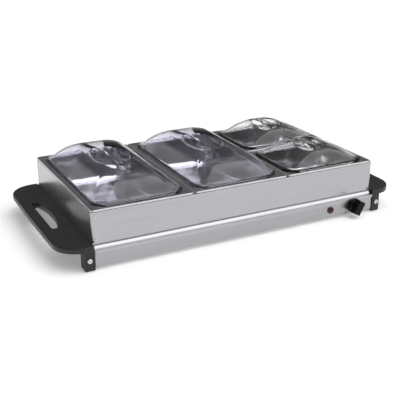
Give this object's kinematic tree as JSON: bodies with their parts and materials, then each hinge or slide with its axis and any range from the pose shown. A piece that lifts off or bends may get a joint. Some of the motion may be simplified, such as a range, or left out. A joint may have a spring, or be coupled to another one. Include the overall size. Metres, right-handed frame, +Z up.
{
  "type": "electric buffet server",
  "caption": "Electric buffet server: a heated steel base with black end handles, a lift-off frame, steel pans in two sizes and clear domed lids with sunk grips.",
  "frame": {"origin": "on the floor under the middle of the whole object, knob and cord gland included", "axes": "+X along the length towards the knob end, -Y towards the front panel, +Z up"},
  "size_m": [0.702, 0.37, 0.1427],
  "materials": {
    "housing_steel": "satin, brushed along the length",
    "plate_steel": "satin",
    "frame_steel": "satin, brushed along the length",
    "inner_steel": "plain rolled",
    "rivet_steel": "smooth",
    "screw_steel": "bright",
    "shaft_steel": "turned",
    "pan_steel": "polished, drawn",
    "spreader_aluminium": "mill finish",
    "element_sheath": "heat-tinted",
    "fuse_metal": "tinned",
    "brass_screw": "turned",
    "glass_fibre": "matte fleece",
    "thermostat_plastic": "moulded phenolic",
    "terminal_plastic": "moulded",
    "wire_sleeve": "silicone sleeve",
    "black_plastic": "satin",
    "handle_plastic": "fine-grained",
    "knob_plastic": "satin",
    "foot_rubber": "matte",
    "gland_rubber": "matte",
    "lens_red": "clear red",
    "lamp_glass": "clear",
    "large_lid_clear": "clear moulded plastic, polished",
    "small_lid_clear": "clear moulded plastic, polished"
  },
  "bodies": {
    "base": {"base_shell": "housing_steel", "handle_brackets": "inner_steel", "bottom_cover": "inner_steel", "bottom_screws": "screw_steel", "warming_plate": "plate_steel", "heat_spreader": "spreader_aluminium", "heating_element": "element_sheath", "element_clamps": "inner_steel", "insulation_pad": "glass_fibre", "heat_shield": "inner_steel", "thermostat_body": "thermostat_plastic", "thermostat_bracket": "inner_steel", "thermal_fuse": "fuse_metal", "terminal_block": "terminal_plastic", "internal_wiring": "wire_sleeve", "earth_screw": "brass_screw", "indicator_bezel": "black_plastic", "indicator_lens": "lens_red", "indicator_lamp": "lamp_glass", "cord_gland": "gland_rubber", "right_handle": "handle_plastic", "left_handle": "handle_plastic", "handle_screws": "screw_steel", "foot_pads": "foot_rubber"},
    "knob": {"control_knob": "knob_plastic", "thermostat_shaft": "shaft_steel"},
    "pan_frame": {"frame_front": "frame_steel", "frame_back": "frame_steel", "frame_right_end": "frame_steel", "frame_left_end": "frame_steel", "frame_corner_brackets": "inner_steel", "frame_rivets": "rivet_steel", "divider_left": "frame_steel", "divider_right": "frame_steel", "divider_small": "frame_steel"},
    "large_pan_left": {"large_pan_left": "pan_steel"},
    "large_lid_left": {"large_lid_left": "large_lid_clear"},
    "large_pan_middle": {"large_pan_middle": "pan_steel"},
    "large_lid_middle": {"large_lid_middle": "large_lid_clear"},
    "small_pan_front": {"small_pan_front": "pan_steel"},
    "small_lid_front": {"small_lid_front": "small_lid_clear"},
    "small_pan_back": {"small_pan_back": "pan_steel"},
    "small_lid_back": {"small_lid_back": "small_lid_clear"}
  },
  "joints": [
    {"name": "knob_turn", "type": "hinge", "parent": "base", "child": "knob", "pos_m": [0.247, -0.165, 0.0205], "axis": [0, 1, 0], "range_deg": [0, 240]},
    {"name": "frame_lift", "type": "slide", "parent": "base", "child": "pan_frame", "axis": [0, 0, 1], "range_m": [0, 0.11]},
    {"name": "large_pan_left_lift", "type": "slide", "parent": "pan_frame", "child": "large_pan_left", "axis": [0, 0, 1], "range_m": [0, 0.09]},
    {"name": "large_lid_left_lift", "type": "slide", "parent": "large_pan_left", "child": "large_lid_left", "axis": [0, 0, 1], "range_m": [0, 0.08]},
    {"name": "large_pan_middle_lift", "type": "slide", "parent": "pan_frame", "child": "large_pan_middle", "axis": [0, 0, 1], "range_m": [0, 0.09]},
    {"name": "large_lid_middle_lift", "type": "slide", "parent": "large_pan_middle", "child": "large_lid_middle", "axis": [0, 0, 1], "range_m": [0, 0.08]},
    {"name": "small_pan_front_lift", "type": "slide", "parent": "pan_frame", "child": "small_pan_front", "axis": [0, 0, 1], "range_m": [0, 0.09]},
    {"name": "small_lid_front_lift", "type": "slide", "parent": "small_pan_front", "child": "small_lid_front", "axis": [0, 0, 1], "range_m": [0, 0.08]},
    {"name": "small_pan_back_lift", "type": "slide", "parent": "pan_frame", "child": "small_pan_back", "axis": [0, 0, 1], "range_m": [0, 0.09]},
    {"name": "small_lid_back_lift", "type": "slide", "parent": "small_pan_back", "child": "small_lid_back", "axis": [0, 0, 1], "range_m": [0, 0.08]}
  ]
}
